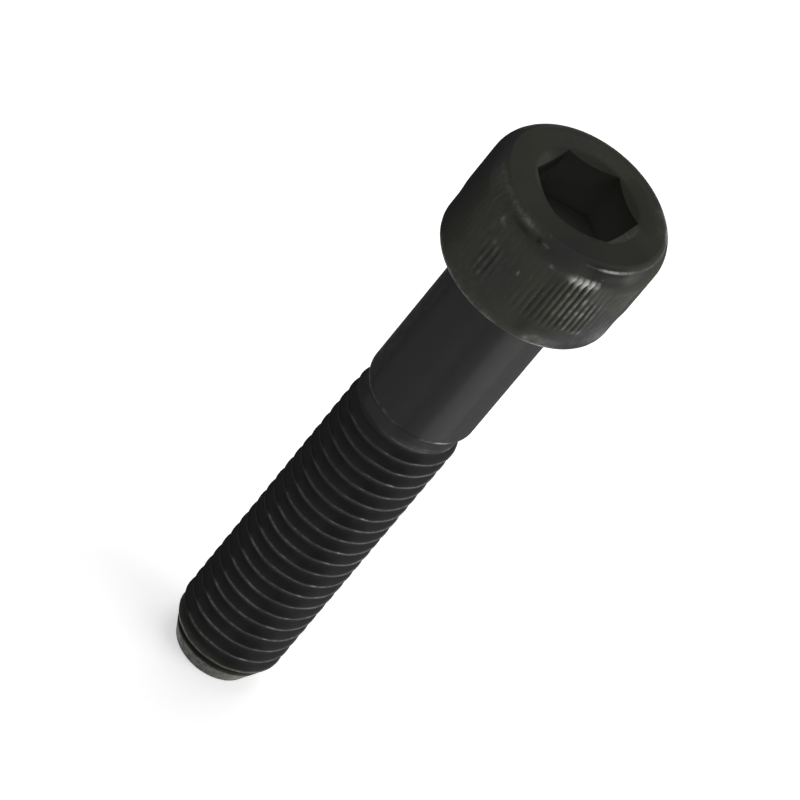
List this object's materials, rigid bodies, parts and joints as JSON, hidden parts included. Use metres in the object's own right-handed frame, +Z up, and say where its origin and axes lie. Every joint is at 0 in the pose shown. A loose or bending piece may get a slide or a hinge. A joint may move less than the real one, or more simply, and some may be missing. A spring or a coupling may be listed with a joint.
{
  "type": "hex socket cap screw",
  "caption": "Partly threaded metric screw with a tall knurled cylindrical head and a hexagon socket, standing on its flat threaded end.",
  "frame": {"origin": "centre of the flat threaded end, on the surface the screw stands on", "axes": "+Z up along the screw's axis, towards the head; +X through a corner of the hexagon socket"},
  "size_m": [0.016, 0.016, 0.06],
  "materials": {
    "black_steel": "black oxide over forged and rolled alloy steel, oiled, satin"
  },
  "bodies": {
    "root": {"cap_screw": "black_steel"}
  },
  "joints": []
}
